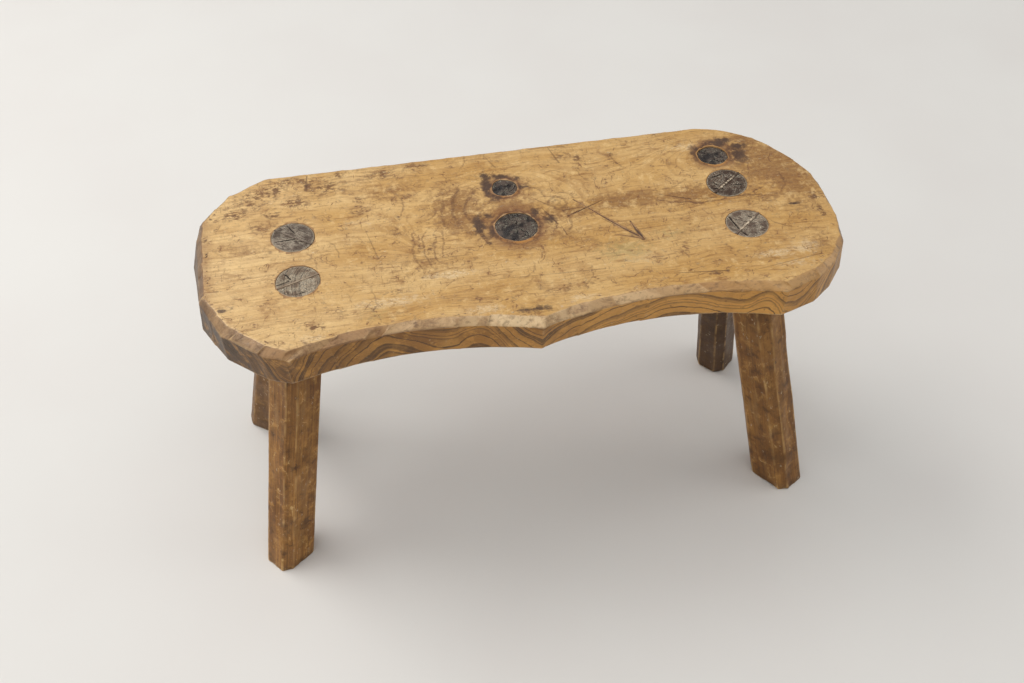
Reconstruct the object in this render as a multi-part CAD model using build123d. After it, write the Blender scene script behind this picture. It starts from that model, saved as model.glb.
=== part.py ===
"""Low country stool: one thick slab seat on four splayed, hand-shaped legs.

Each leg ends in a round tenon that runs right through the slab and is spread from above by a thin wedge.
Three dead knots, which are separate plugs of branch wood, sit in the slab.

Row frame: origin on the floor under the middle of the stool, +X along the seat, +Y to its straight long
edge, +Z up. The scooped long edge is on the -Y side. Millimetres.
"""

import math
import os

from build123d import *

# ---- Slab seat ----
SEAT_HEIGHT = 330.0  # floor to sitting face
SLAB_THICKNESS = 40.0
BEVEL_DEPTH = 6.0  # how far down the knife-cut bevel round the top edge reaches
UNDERSIDE = SEAT_HEIGHT - SLAB_THICKNESS
BEVEL_LINE = SEAT_HEIGHT - BEVEL_DEPTH

# ---- Through joints ----
# Each mortise widens upwards, so that a tenon spread by its wedge can't pull out.
MORTISE_RADIUS = 20.0  # at the sitting face
MORTISE_NARROW = 18.0  # at the underside
TENON_GAP = 0.05  # radial, between a tenon and its mortise
WEDGE_TOP = 1.6  # wedge thickness at the sitting face
WEDGE_TIP = 0.6
WEDGE_DEPTH = 30.0
KERF_DEPTH = 32.0  # the saw cut runs a little past the wedge's tip

# ---- Legs ----
OVERRUN = 60.0  # extra length before the floor and the slab trim a leg

# The seat's outline at the sitting face, anticlockwise from above, starting at the front left nose.
# kind is "corner", or "arc" for a point on an arc between the corners before and after it.
# bevel and flare are how far the bevel line and the underside stand outside the sitting face there.
SEAT_OUTLINE = [
    # kind, x, y, bevel, flare
    ("corner", -233.0, -115.0, 6.0, 3.0),  # front left nose
    ("arc", -121.0, -99.5, 6.0, 3.0),
    ("corner", -10.0, -116.5, 7.5, 1.5),  # point in the middle of the front
    ("arc", 103.0, -99.5, 6.5, 1.0),
    ("corner", 217.0, -115.0, 6.0, 4.0),  # front right nose
    ("corner", 251.0, -103.0, 5.0, 5.0),
    ("corner", 271.0, -88.0, 5.0, 5.0),
    ("corner", 288.5, -64.0, 4.0, 7.0),
    ("corner", 295.5, -35.0, 3.0, 15.0),  # right end, front
    ("corner", 296.5, -5.0, 3.0, 19.0),
    ("corner", 295.5, 29.5, 3.0, 17.0),  # right end, rear
    ("arc", 280.0, 62.0, 3.0, 10.0),
    ("corner", 262.0, 88.0, 3.0, 6.0),
    ("arc", 233.0, 110.5, 3.0, 3.5),
    ("corner", 200.5, 120.5, 3.5, 3.0),  # rear right corner
    ("corner", -238.5, 120.5, 3.5, 3.0),  # rear left corner
    ("corner", -274.0, 101.0, 3.5, 5.0),
    ("corner", -300.0, 67.0, 4.0, 10.0),
    ("corner", -302.5, 48.0, 4.5, 13.0),  # left end, rear
    ("corner", -302.5, -36.0, 4.0, 6.0),  # left end, front
    ("corner", -283.0, -75.5, 8.0, 6.0),
    ("corner", -250.0, -106.0, 8.0, 5.0),
]

# Each leg: where its tenon's middle meets the sitting face, where its middle meets the floor, the two
# widths of its section at the foot, how much is cut off each of its four long corners, how much wider it
# is at the slab, and the directions in plan that its broad side and its wedge face, in degrees from +X.
LEGS = {
    "leg_front_left": dict(
        tenon=(-217.5, -30.5), foot=(-269.0, -92.5),
        broad=44.5, narrow=37.5, corner=8.0, swell=1.05, turn=40.0, wedge=19.0,
    ),
    "leg_front_right": dict(
        tenon=(208.0, -31.0), foot=(272.5, -89.0),
        broad=50.0, narrow=40.0, corner=8.5, swell=0.96, turn=125.0, wedge=39.0,
    ),
    "leg_rear_left": dict(
        tenon=(-217.5, 30.5), foot=(-276.0, 97.0),
        broad=44.0, narrow=39.0, corner=8.0, swell=1.05, turn=-38.0, wedge=-38.0,
    ),
    "leg_rear_right": dict(
        tenon=(208.0, 31.0), foot=(257.0, 88.0),
        broad=39.0, narrow=38.0, corner=8.5, swell=0.97, turn=41.5, wedge=38.0,
    ),
}

# Each knot: its middle at the sitting face, its radius there and at the underside, and how far its middle
# has moved by the underside.
KNOTS = {
    "knot_centre_front": dict(at=(-8.5, 5.0), top=20.5, bottom=15.0, drift=(0.0, 6.0)),
    "knot_centre_rear": dict(at=(-9.0, 64.0), top=12.5, bottom=9.0, drift=(0.0, -2.0)),
    "knot_rear_right": dict(at=(207.0, 74.5), top=15.0, bottom=11.0, drift=(-2.0, 1.0)),
}


def outward(index):
    """Unit vector in plan pointing out of the seat at one point of its outline."""
    before = SEAT_OUTLINE[index - 1]
    after = SEAT_OUTLINE[(index + 1) % len(SEAT_OUTLINE)]
    along_x, along_y = after[1] - before[1], after[2] - before[2]
    length = math.hypot(along_x, along_y)
    return along_y / length, -along_x / length


def outline_point(index, level, height):
    """One outline point moved out to the sitting face ("top"), the bevel line or the underside."""
    _, x, y, bevel, flare = SEAT_OUTLINE[index]
    out = {"top": 0.0, "bevel": bevel, "underside": flare}[level]
    normal_x, normal_y = outward(index)
    return Vector(x + out * normal_x, y + out * normal_y, height)


def outline_wire(level, height):
    """The seat's closed outline at one level: straight facets, and an arc through each arc point."""
    count = len(SEAT_OUTLINE)
    points = [outline_point(i, level, height) for i in range(count)]
    edges = []
    for i in range(count):
        following = (i + 1) % count
        if SEAT_OUTLINE[i][0] == "arc":
            edges.append(Edge.make_three_point_arc(points[i - 1], points[i], points[following]))
        elif SEAT_OUTLINE[following][0] != "arc":
            edges.append(Edge.make_line(points[i], points[following]))
    return Wire(edges)


def leg_axis(leg):
    """Foot, top of tenon and unit direction of a leg's centre line."""
    foot = Vector(*leg["foot"], 0.0)
    top = Vector(*leg["tenon"], SEAT_HEIGHT)
    return foot, top, (top - foot).normalized()


def slice_between(low, high):
    """A large block between two heights, which trims a leg, tenon or wedge."""
    span = 1000.0
    return Pos(0, 0, (low + high) / 2) * Box(span, span, high - low)


def tenon_taper(leg, gap):
    """The taper of a mortise on a leg's centre line, made smaller by gap and run past both slab faces."""
    _, top, axis = leg_axis(leg)
    slope = (MORTISE_RADIUS - MORTISE_NARROW) / SLAB_THICKNESS
    low_radius = MORTISE_RADIUS - gap - slope * (SLAB_THICKNESS + OVERRUN)
    high_radius = MORTISE_RADIUS - gap + slope * OVERRUN
    height = SLAB_THICKNESS + 2 * OVERRUN
    base = Plane(origin=top - axis * (SLAB_THICKNESS + OVERRUN), z_dir=axis)
    return base * Cone(low_radius, high_radius, height, align=(Align.CENTER, Align.CENTER, Align.MIN))


def leg_section(leg, plane, swell):
    """A leg's section: a rectangle with its four corners taken off."""
    broad, narrow = leg["broad"] * swell, leg["narrow"] * swell
    outline = Rectangle(broad, narrow)
    return plane * chamfer(outline.vertices(), leg["corner"])


def leg_shaft(leg):
    """The tapering shaft, cut level with the floor and with the slab's underside."""
    foot, top, axis = leg_axis(leg)
    turn = math.radians(leg["turn"])
    heading = Vector(math.cos(turn), math.sin(turn), 0.0)
    across = heading - axis * heading.dot(axis)
    low = Plane(origin=foot - axis * OVERRUN, x_dir=across, z_dir=axis)
    high = Plane(origin=top, x_dir=across, z_dir=axis)
    shaft = loft([leg_section(leg, low, 1.0), leg_section(leg, high, leg["swell"])], ruled=True)
    return shaft & slice_between(0.0, UNDERSIDE)


def wedge_blank(leg, slot):
    """The wedge's tapering blade on the tenon's centre line, or with slot the saw cut that it fills."""
    _, top, axis = leg_axis(leg)
    turn = math.radians(leg["wedge"])
    heading = Vector(math.cos(turn), math.sin(turn), 0.0)
    width = (heading - axis * heading.dot(axis)).normalized()
    # The sketch's x runs across the blade and its y up the tenon.
    plane = Plane(origin=top, x_dir=axis.cross(width), z_dir=width)
    rise = OVERRUN / 2
    growth = (WEDGE_TOP - WEDGE_TIP) / WEDGE_DEPTH
    thick_end = WEDGE_TOP / 2 + growth * rise / 2
    side = 1.0 if plane.y_dir.dot(axis) > 0 else -1.0
    profile = Polyline(
        (-WEDGE_TIP / 2, -side * WEDGE_DEPTH),
        (WEDGE_TIP / 2, -side * WEDGE_DEPTH),
        (thick_end, side * rise),
        (-thick_end, side * rise),
        close=True,
    )
    blade = extrude(plane * make_face(profile), MORTISE_RADIUS * 1.5, both=True)
    if slot:
        below = (WEDGE_DEPTH + KERF_DEPTH) / 2
        kerf = Pos(0, -side * below) * Rectangle(WEDGE_TIP, KERF_DEPTH - WEDGE_DEPTH)
        blade += extrude(plane * kerf, MORTISE_RADIUS * 1.5, both=True)
    return blade


def make_leg(leg):
    """Shaft and tapered round tenon in one piece of wood, with the saw cut for its wedge."""
    tenon = tenon_taper(leg, TENON_GAP) & slice_between(UNDERSIDE - 5.0, SEAT_HEIGHT)
    return leg_shaft(leg) + tenon - wedge_blank(leg, slot=True)


def make_wedge(leg):
    """The wedge, trimmed to the tenon's taper and flush with the sitting face."""
    blade = wedge_blank(leg, slot=False)
    return blade & tenon_taper(leg, TENON_GAP) & slice_between(UNDERSIDE, SEAT_HEIGHT)


def make_knot(knot):
    """A tapering plug of dead branch wood, as deep as the slab."""
    top = Plane(origin=(*knot["at"], SEAT_HEIGHT)) * Circle(knot["top"])
    low_x, low_y = (a + b for a, b in zip(knot["at"], knot["drift"]))
    bottom = Plane(origin=(low_x, low_y, UNDERSIDE)) * Circle(knot["bottom"])
    return loft([bottom, top], ruled=True)


def make_seat(knots):
    """The slab: flared sides, bevelled top edge, four slanting mortises and the knots' holes."""
    sides = Solid.make_loft(
        [outline_wire("underside", UNDERSIDE), outline_wire("bevel", BEVEL_LINE)], ruled=True
    )
    bevel = Solid.make_loft(
        [outline_wire("bevel", BEVEL_LINE), outline_wire("top", SEAT_HEIGHT)], ruled=True
    )
    slab = Part() + sides + bevel
    for leg in LEGS.values():
        slab -= tenon_taper(leg, 0.0)
    for knot in knots.values():
        slab -= knot
    return slab


def main():
    knots = {name: make_knot(knot) for name, knot in KNOTS.items()}
    pieces = {"seat_slab": make_seat(knots), **knots}
    for name, leg in LEGS.items():
        pieces[name] = make_leg(leg)
        pieces[name.replace("leg", "wedge")] = make_wedge(leg)
    os.makedirs("parts", exist_ok=True)
    for name, piece in pieces.items():
        piece.label = name
        export_step(piece, f"parts/{name}.step")


main()
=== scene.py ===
import bisect
import math
import random
from functools import reduce
from types import SimpleNamespace

import bmesh
import bpy
from mathutils import Matrix, Vector, noise


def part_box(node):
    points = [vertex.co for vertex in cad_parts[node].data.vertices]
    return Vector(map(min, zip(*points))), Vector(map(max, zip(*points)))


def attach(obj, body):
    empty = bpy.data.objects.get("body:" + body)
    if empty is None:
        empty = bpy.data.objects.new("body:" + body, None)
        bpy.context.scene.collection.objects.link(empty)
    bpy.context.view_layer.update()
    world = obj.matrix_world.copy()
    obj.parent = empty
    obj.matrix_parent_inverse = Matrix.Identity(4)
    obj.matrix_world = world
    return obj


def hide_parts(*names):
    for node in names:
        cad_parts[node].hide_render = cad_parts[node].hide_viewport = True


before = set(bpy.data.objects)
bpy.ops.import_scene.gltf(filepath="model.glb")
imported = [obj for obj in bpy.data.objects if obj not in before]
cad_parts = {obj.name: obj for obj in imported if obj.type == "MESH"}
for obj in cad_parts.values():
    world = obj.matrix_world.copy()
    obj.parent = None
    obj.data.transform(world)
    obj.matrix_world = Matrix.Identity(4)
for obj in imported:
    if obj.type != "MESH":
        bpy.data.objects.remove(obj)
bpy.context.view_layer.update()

# ---------------------------------------------------------------------------------------------------------
# Sizes, in metres, in the CAD frame
# ---------------------------------------------------------------------------------------------------------
MM = 0.001
SLAB_LOW, SLAB_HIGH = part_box("seat_slab")
UNDERSIDE, SITTING_FACE = SLAB_LOW.z, SLAB_HIGH.z
BEVEL_LINE = SITTING_FACE - 6.0 * MM
JOINT_GAP = 0.35 * MM  # the dark line round a tenon or a knot
EDGE_SOFTNESS = 0.9 * MM


# ---------------------------------------------------------------------------------------------------------
# Small helpers for shapes
# ---------------------------------------------------------------------------------------------------------
def rough(point, size, seed=0.0):
    """Smooth noise from -1 to 1 whose bumps are about `size` metres across."""
    return noise.noise(Vector((point[0] / size + seed, point[1] / size - seed, point[2] / size + 2 * seed)))


def ease(value, low, high):
    """0 below low, 1 above high, smooth between."""
    t = min(1.0, max(0.0, (value - low) / (high - low)))
    return t * t * (3.0 - 2.0 * t)


def tube(columns, rows, place):
    """A closed tube of quads. place(column, row) gives each point; equal points are merged."""
    bm = bmesh.new()
    bmesh.ops.create_grid(bm, x_segments=columns, y_segments=rows, size=1.0)
    for vert in bm.verts:
        column = round((vert.co.x + 1.0) / 2.0 * columns) % columns
        row = round((vert.co.y + 1.0) / 2.0 * rows)
        vert.co = place(column, row)
    bmesh.ops.remove_doubles(bm, verts=bm.verts, dist=1e-6)
    return bm


def close_ends(bm):
    """Fills every open ring with one face, turns all faces outwards and gives the new faces."""
    rim = [edge for edge in bm.edges if edge.is_boundary]
    caps = bmesh.ops.holes_fill(bm, edges=rim, sides=0)["faces"] if rim else []
    bmesh.ops.recalc_face_normals(bm, faces=bm.faces)
    return caps


def new_piece(bm, name, materials=()):
    mesh = bpy.data.meshes.new(name)
    bm.to_mesh(mesh)
    bm.free()
    piece = bpy.data.objects.new(name, mesh)
    bpy.context.scene.collection.objects.link(piece)
    for material in materials:
        mesh.materials.append(material)
    return piece


def carve(piece, cutter):
    """Cuts the cutter's shape out of the piece, then throws the cutter away."""
    cut = piece.modifiers.new("carve", "BOOLEAN")
    cut.operation = "DIFFERENCE"
    cut.solver = "EXACT"
    cut.object = cutter
    bpy.context.view_layer.update()
    shaped = bpy.data.meshes.new_from_object(piece.evaluated_get(bpy.context.evaluated_depsgraph_get()))
    piece.modifiers.clear()
    old, piece.data = piece.data, shaped
    bpy.data.meshes.remove(old)
    bpy.data.objects.remove(cutter)


def smooth_between_ridges(piece, degrees):
    """Rounds the shading, except across ridges sharper than the angle."""
    piece.data.polygons.foreach_set("use_smooth", [True] * len(piece.data.polygons))
    piece.data.set_sharp_from_angle(angle=math.radians(degrees))


def store(piece, name, values):
    """Keeps one number for each point of the mesh, for the materials to read."""
    layer = piece.data.attributes.new(name, "FLOAT", "POINT")
    layer.data.foreach_set("value", values)


def mean(numbers):
    return sum(numbers) / len(numbers) if numbers else 0.0


def mark_ridges(piece, plain_circles=()):
    """Stores "ridge": 1 on convex edges, 0 in hollows, 0.5 on flat wood and inside the plain circles."""
    bm = bmesh.new()
    bm.from_mesh(piece.data)
    bm.normal_update()
    bend = []
    for vert in bm.verts:
        aways = [vert.co - edge.other_vert(vert).co for edge in vert.link_edges]
        bend.append(mean([vert.normal.dot(away.normalized()) for away in aways if away.length > 1e-6]))
    values = []
    for vert in bm.verts:
        near = [bend[edge.other_vert(vert).index] for edge in vert.link_edges]
        soft = 0.5 * bend[vert.index] + 0.5 * mean(near)
        if any(math.hypot(vert.co.x - x, vert.co.y - y) < reach for x, y, reach in plain_circles):
            soft = 0.0
        values.append(min(1.0, max(0.0, 0.5 + 2.5 * soft)))
    bm.free()
    store(piece, "ridge", values)


def ride_as(piece, node):
    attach(piece, "root")
    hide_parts(node)


def level_points(node, height):
    """The CAD node's points at one height, each once."""
    found = {}
    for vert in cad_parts[node].data.vertices:
        if abs(vert.co.z - height) < 0.1 * MM:
            found[(round(vert.co.x, 5), round(vert.co.y, 5))] = vert.co.copy()
    return list(found.values())


def box_middle(points):
    xs, ys = [p.x for p in points], [p.y for p in points]
    return Vector(((min(xs) + max(xs)) / 2, (min(ys) + max(ys)) / 2, points[0].z))


# ---------------------------------------------------------------------------------------------------------
# Legs: eight hand-cut faces, a round tapered tenon and a rough sawn end
# ---------------------------------------------------------------------------------------------------------
LEG_FACES, COLUMNS_PER_FACE = 8, 12
LEG_ROWS, TENON_ROWS, END_ROWS = 112, 8, 24
LAST_TENON_ROW = LEG_ROWS + TENON_ROWS
MORTISE_NARROW, MORTISE_WIDE = 18.0 * MM, 20.0 * MM

# The chipped, rounded foot. For each of the lowest rows: its height and how far it draws in, in
# millimetres, and its share of the chips.
FOOT_ROWS = [(0.0, 4.0, 1.0), (0.0, 1.1, 1.0), (0.5, 0.45, 0.7), (1.5, 0.1, 0.35)]

# Cracks in each tenon's end: straight lines in plan, in millimetres from its middle: x0, y0, x1, y1, depth.
TENON_CRACKS = {
    "leg_front_left": [(-19, -2, -6, 3, 1.6), (-12, 14, -5, 2, 1.2), (-2, -16, 9, -14, 0.7)],
    "leg_front_right": [(-14, 13, -9, -9, 1.6), (-9, -9, -4, -18, 1.0), (2, 12, 14, 3, 0.8)],
    "leg_rear_left": [(-17, -4, 6, -2, 0.9), (-4, 17, 3, 4, 0.8), (3, -6, 16, -9, 0.9)],
    "leg_rear_right": [
        (-16, 9, 2, 15, 0.9), (-17, -5, -3, -9, 1.0), (4, -3, 18, -5, 0.9), (-13, 3, -9, -2, 1.2),
    ],
}

# Knife cuts in each leg: bearing in degrees, height, half length, half width in degrees, depth in mm.
LEG_CUTS = {
    "leg_front_left": [
        (-95, 58, 17, 42, 2.4), (-62, 30, 24, 26, 2.2), (-125, 96, 26, 22, 1.5), (-88, 18, 22, 30, 2.0),
        (-70, 150, 34, 20, 1.3), (-112, 205, 30, 24, 1.1), (-40, 92, 22, 20, 1.3), (90, 120, 40, 40, 1.0),
    ],
    "leg_front_right": [
        (-50, 96, 38, 18, 1.6), (-100, 60, 30, 26, 1.5), (-82, 170, 42, 24, 1.2), (-38, 180, 34, 16, 1.2),
        (-66, 26, 20, 20, 1.9), (-112, 130, 26, 20, 1.3), (-50, 240, 26, 18, 0.7), (100, 90, 40, 40, 1.0),
    ],
    "leg_rear_left": [
        (-140, 70, 30, 30, 1.1), (-100, 150, 40, 30, 0.9), (120, 90, 30, 26, 1.2), (60, 180, 30, 26, 0.9),
    ],
    "leg_rear_right": [
        (-95, 46, 22, 26, 1.3), (-60, 110, 34, 24, 1.0), (-120, 30, 18, 22, 1.1), (80, 140, 40, 26, 1.0),
    ],
}


def knife_cut_depth(name, bearing, height):
    """How deep the leg is cut at one bearing and height, in metres: a scoop with a crisp upper end."""
    depth = 0.0
    for middle, level, half_length, half_width, deep in LEG_CUTS[name]:
        turn = (bearing - middle + 180.0) % 360.0 - 180.0
        along = (height / MM - level) / half_length
        along = along * 0.6 if along < 0 else along * 1.25
        depth = max(depth, deep * (1.0 - (turn / half_width) ** 2 - along ** 2))
    return depth * MM


def leg_lines(name):
    """The leg's eight corners at the foot and at the slab, matched up, and its centre line."""
    foot = level_points(name, 0.0)
    foot_middle = sum(foot, Vector()) / len(foot)
    top_middle = box_middle(level_points(name, SITTING_FACE))
    shoulder_middle = foot_middle.lerp(top_middle, UNDERSIDE / SITTING_FACE)
    outside_tenon = 19.3 * MM
    shoulder = [p for p in level_points(name, UNDERSIDE) if (p - shoulder_middle).length > outside_tenon]
    foot.sort(key=lambda p: math.atan2(p.y - foot_middle.y, p.x - foot_middle.x))
    shoulder.sort(key=lambda p: math.atan2(p.y - shoulder_middle.y, p.x - shoulder_middle.x))
    offset = shoulder_middle - foot_middle
    turned = [shoulder[k:] + shoulder[:k] for k in range(len(shoulder))]
    shoulder = min(turned, key=lambda ring: sum((b - offset - a).length for a, b in zip(foot, ring)))
    return foot, shoulder, foot_middle, top_middle


def crack_depth(cracks, x, y):
    """How deep the end grain is cracked at one place, in millimetres."""
    depth = 0.0
    for x0, y0, x1, y1, deep in cracks:
        along = Vector((x1 - x0, y1 - y0))
        t = min(1.0, max(0.0, Vector((x - x0, y - y0)).dot(along) / along.length_squared))
        away = math.hypot(x - x0 - along.x * t, y - y0 - along.y * t)
        taper = math.sin(math.pi * min(0.95, max(0.15, t)))
        depth = max(depth, deep * (1.0 - ease(away, 0.3, 1.3)) * taper)
    return depth


SEAT_HOLLOWS = [  # x, y, reach along X, reach along Y, depth: millimetres
    (150.0, 8.0, 80.0, 30.0, 1.9),
    (-120.0, 5.0, 95.0, 60.0, 1.1),
    (20.0, -55.0, 120.0, 34.0, 0.7),
    (-235.0, 75.0, 34.0, 26.0, 0.7),
    (245.0, -60.0, 34.0, 26.0, 0.6),
]


def hollow_in_seat(x, y):
    """How far the sitting face is worn down at one place, in metres."""
    worn = 0.0
    for cx, cy, rx, ry, deep in SEAT_HOLLOWS:
        worn += deep * math.exp(-(((x / MM - cx) / rx) ** 2) - (((y / MM - cy) / ry) ** 2))
    ripple = 0.22 * rough((x, y, 0.0), 0.045, 3.0) + 0.10 * rough((x, y, 0.0), 0.017, 5.0)
    return (worn + 0.25 + ripple) * MM


def shaft_point(name, lines, seed, column, t, shrink):
    """A point on the shaft at share t of its height. Each face is a row of long shallow knife cuts."""
    foot, shoulder, foot_middle, top_middle = lines
    side, step = divmod(column, COLUMNS_PER_FACE)
    following = (side + 1) % LEG_FACES
    middle = foot_middle.lerp(top_middle, t * UNDERSIDE / SITTING_FACE)
    a, b = (foot[k].lerp(shoulder[k], t) for k in (side, following))
    edge = b - a
    waver_a, waver_b = (0.9 * MM * rough((k * 3.1, t * 0.33, seed), 0.06, seed) for k in (side, following))
    soft = EDGE_SOFTNESS / max(edge.length, 6 * MM)
    along = soft + (1.0 - 2.0 * soft) * step / (COLUMNS_PER_FACE - 1)
    point = (a + edge.normalized() * waver_a).lerp(b + edge.normalized() * waver_b, along)
    outward = Vector((edge.y, -edge.x, 0.0)).normalized()
    if outward.dot(point - middle) < 0:
        outward = -outward
    stroke = 0.34 * rough((side * 5.0, t * 0.30, 0.0), 0.05, seed) + 0.16 * rough(point, 0.012, seed)
    hollow = 0.5 + 0.5 * rough((side * 2.0, t * 0.3, 1.0), 0.09, seed)
    point = point + outward * (stroke - 0.25 * math.sin(math.pi * along) * hollow) * MM
    inward = middle - point
    cut = knife_cut_depth(name, math.degrees(math.atan2(-inward.y, -inward.x)), t * UNDERSIDE)
    return point + inward.normalized() * (shrink + cut)


def build_leg(name, seed, materials):
    lines = leg_lines(name)
    _, _, foot_middle, top_middle = lines
    splay = (top_middle - foot_middle).xy
    heading = splay.normalized()
    lengthening = 1.0 / math.cos(math.atan2(splay.length, SITTING_FACE)) - 1.0
    shoulder_middle = foot_middle.lerp(top_middle, UNDERSIDE / SITTING_FACE)

    def shaft(column, row):
        """Rows crowd together at the foot."""
        if row < len(FOOT_ROWS):
            height, draw_in, share = FOOT_ROWS[row]
            chip = max(0.0, rough((column * 0.11, 0.0, 0.0), 0.9, seed) - 0.12) * 4.0 * MM
            t, shrink = height * MM / UNDERSIDE, draw_in * MM + share * chip
        else:
            crowded = (len(FOOT_ROWS) - 1) / LEG_ROWS
            t, shrink = min(1.0, 0.006 + (row / LEG_ROWS - crowded) / (1 - crowded) * 0.994), 0.0
        point = shaft_point(name, lines, seed, column, t, shrink)
        point.z = t * UNDERSIDE
        return point

    def tenon(column, row):
        """Up the tenon, then across its end to the middle. A slanting cut through it is an ellipse."""
        direction = (shaft_point(name, lines, seed, column, 1.0, 0.0) - shoulder_middle).xy.normalized()
        stretch = 1.0 + lengthening * direction.dot(heading) ** 2
        up = min(1.0, (row - LEG_ROWS - 1) / (TENON_ROWS - 1))
        inward = 1.0 - max(0, row - LAST_TENON_ROW) / END_ROWS
        z = UNDERSIDE + (SITTING_FACE - UNDERSIDE) * up
        middle = foot_middle.lerp(top_middle, z / SITTING_FACE)
        radius = MORTISE_NARROW + (MORTISE_WIDE - MORTISE_NARROW) * up - JOINT_GAP
        if row >= LAST_TENON_ROW:
            radius += 0.30 * MM * rough((direction.x, direction.y, z * 8), 0.45, seed)
        reach = radius * stretch * inward
        x, y = middle.x + direction.x * reach, middle.y + direction.y * reach
        if row >= LAST_TENON_ROW:
            cracks = crack_depth(TENON_CRACKS[name], (x - middle.x) / MM, (y - middle.y) / MM)
            grain = 0.20 * rough((x, y, 0.0), 0.0035, seed) + 0.24 * rough((x, y, 0.0), 0.009, seed + 4.0)
            rim = 0.35 * ease(inward, 0.93, 1.0)
            z = SITTING_FACE - hollow_in_seat(x, y) * 0.6 - (0.30 - grain + rim + cracks) * MM
        return Vector((x, y, z))

    def place(column, row):
        return shaft(column, row) if row <= LEG_ROWS else tenon(column, row)

    bm = tube(LEG_FACES * COLUMNS_PER_FACE, LAST_TENON_ROW + END_ROWS, place)
    close_ends(bm)
    for face in bm.faces:
        height = face.calc_center_median().z
        on_top = face.normal.z > 0.3 and height > SITTING_FACE - 4 * MM
        underneath = face.normal.z < -0.7 and height < 1 * MM
        face.material_index = 1 if on_top or underneath else 0
    leg = new_piece(bm, name + "_wood", materials)
    wedge = bmesh.new()
    wedge.from_mesh(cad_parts[name.replace("leg", "wedge")].data)
    bmesh.ops.remove_doubles(wedge, verts=wedge.verts, dist=1e-6)
    for vert in wedge.verts:
        if vert.co.z > SITTING_FACE - 1 * MM:
            vert.co.z += 3 * MM
    bmesh.ops.recalc_face_normals(wedge, faces=wedge.faces)
    carve(leg, new_piece(wedge, "wedge_cutter"))
    smooth_between_ridges(leg, 28)
    mark_ridges(leg)
    ride_as(leg, name)


# ---------------------------------------------------------------------------------------------------------
# Knots: tapered plugs of dead branch wood
# ---------------------------------------------------------------------------------------------------------
KNOT_COLUMNS, KNOT_SIDE_ROWS, KNOT_END_ROWS = 96, 8, 22
KNOT_SHAPE = {  # how far the outline strays from round, how far the end sits below the seat (mm), seed
    "knot_centre_front": (0.055, 0.35, 11.0),
    "knot_centre_rear": (0.09, 0.45, 23.0),
    "knot_rear_right": (0.08, 0.9, 37.0),
}


def ring_at(node, height):
    """Middle and radius of a round node at one height."""
    points = level_points(node, height)
    middle = box_middle(points)
    return middle, max((p - middle).length for p in points)


def split_depth(seed, angle, inward, radius):
    """How deep a knot's end is split, 0 to 1, at one bearing and share of the way out."""
    deepest = 0.0
    for k in range(3):
        start, reach = seed * 1.7 + k * 2.3 + 0.6 * math.sin(seed + k), 0.30 + 0.2 * (k % 3)
        bend = start + 0.9 * rough((inward, start, seed), 0.25, seed)
        turn = math.atan2(math.sin(angle - bend), math.cos(angle - bend))
        depth = (1.0 - ease(abs(turn) * inward * radius / MM, 0.25, 1.1)) * ease(inward, 0.05, 0.3)
        deepest = max(deepest, depth * (1.0 - ease(inward, reach + 0.3, reach + 0.5)))
    return deepest


def knot_tube(name, grow=0.0, rise=0.0):
    """One knot, or with grow and rise the slightly larger shape that its hole is cut with."""
    stray, sunk, seed = KNOT_SHAPE[name]
    top_middle, top_radius = ring_at(name, SITTING_FACE)
    bottom_middle, bottom_radius = ring_at(name, UNDERSIDE)

    def place(column, row):
        angle = 2 * math.pi * column / KNOT_COLUMNS
        direction = Vector((math.cos(angle), math.sin(angle), 0.0))
        up = min(1.0, row / KNOT_SIDE_ROWS)
        irregular = 1.0 + stray * rough((direction.x, direction.y, 0.0), 0.8, seed)
        irregular += 0.35 * stray * rough((direction.x, direction.y, 0.0), 0.2, seed)
        radius = (bottom_radius + (top_radius - bottom_radius) * up) * irregular + grow
        middle = bottom_middle.lerp(top_middle, up)
        if row <= KNOT_SIDE_ROWS:
            z = UNDERSIDE - rise + (SITTING_FACE - UNDERSIDE + 2 * rise) * up
            if not rise and up == 1.0:
                z -= hollow_in_seat(middle.x, middle.y) + (sunk + 0.5) * MM
            point = middle + direction * radius
            return Vector((point.x, point.y, z))
        inward = 1.0 - (row - KNOT_SIDE_ROWS) / KNOT_END_ROWS
        point = middle + direction * radius * inward
        grain = 0.14 * rough(point, 0.004, seed) + 0.22 * rough(point, 0.011, seed)
        dome = 0.35 * math.cos(inward * math.pi / 2)
        drop = sunk - dome - grain + 0.9 * split_depth(seed, angle, inward, top_radius)
        point.z = SITTING_FACE - hollow_in_seat(point.x, point.y) - drop * MM
        return point

    bm = tube(KNOT_COLUMNS, KNOT_SIDE_ROWS if rise else KNOT_SIDE_ROWS + KNOT_END_ROWS, place)
    close_ends(bm)
    return bm


# ---------------------------------------------------------------------------------------------------------
# Seat: a slab with knife-cut edges
# ---------------------------------------------------------------------------------------------------------
def seat_outline(height):
    """The board's outer edge at one height, as plan points in order round the middle, with their bearings."""
    points = [p for p in level_points("seat_slab", height) if abs(p.x) > 0.25 or abs(p.y) > 0.092]
    points.sort(key=lambda p: math.atan2(p.y, p.x))
    return points, [math.atan2(p.y, p.x) for p in points]


def on_outline(outline, bearing):
    """Where a line out from the middle crosses the outline."""
    points, bearings = outline
    k = bisect.bisect(bearings, bearing) % len(points)
    a, b = points[k - 1], points[k]
    direction = Vector((math.cos(bearing), math.sin(bearing)))
    side = b - a
    reach = (a.x * side.y - a.y * side.x) / (direction.x * side.y - direction.y * side.x)
    return Vector((direction.x * reach, direction.y * reach, a.z))


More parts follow.
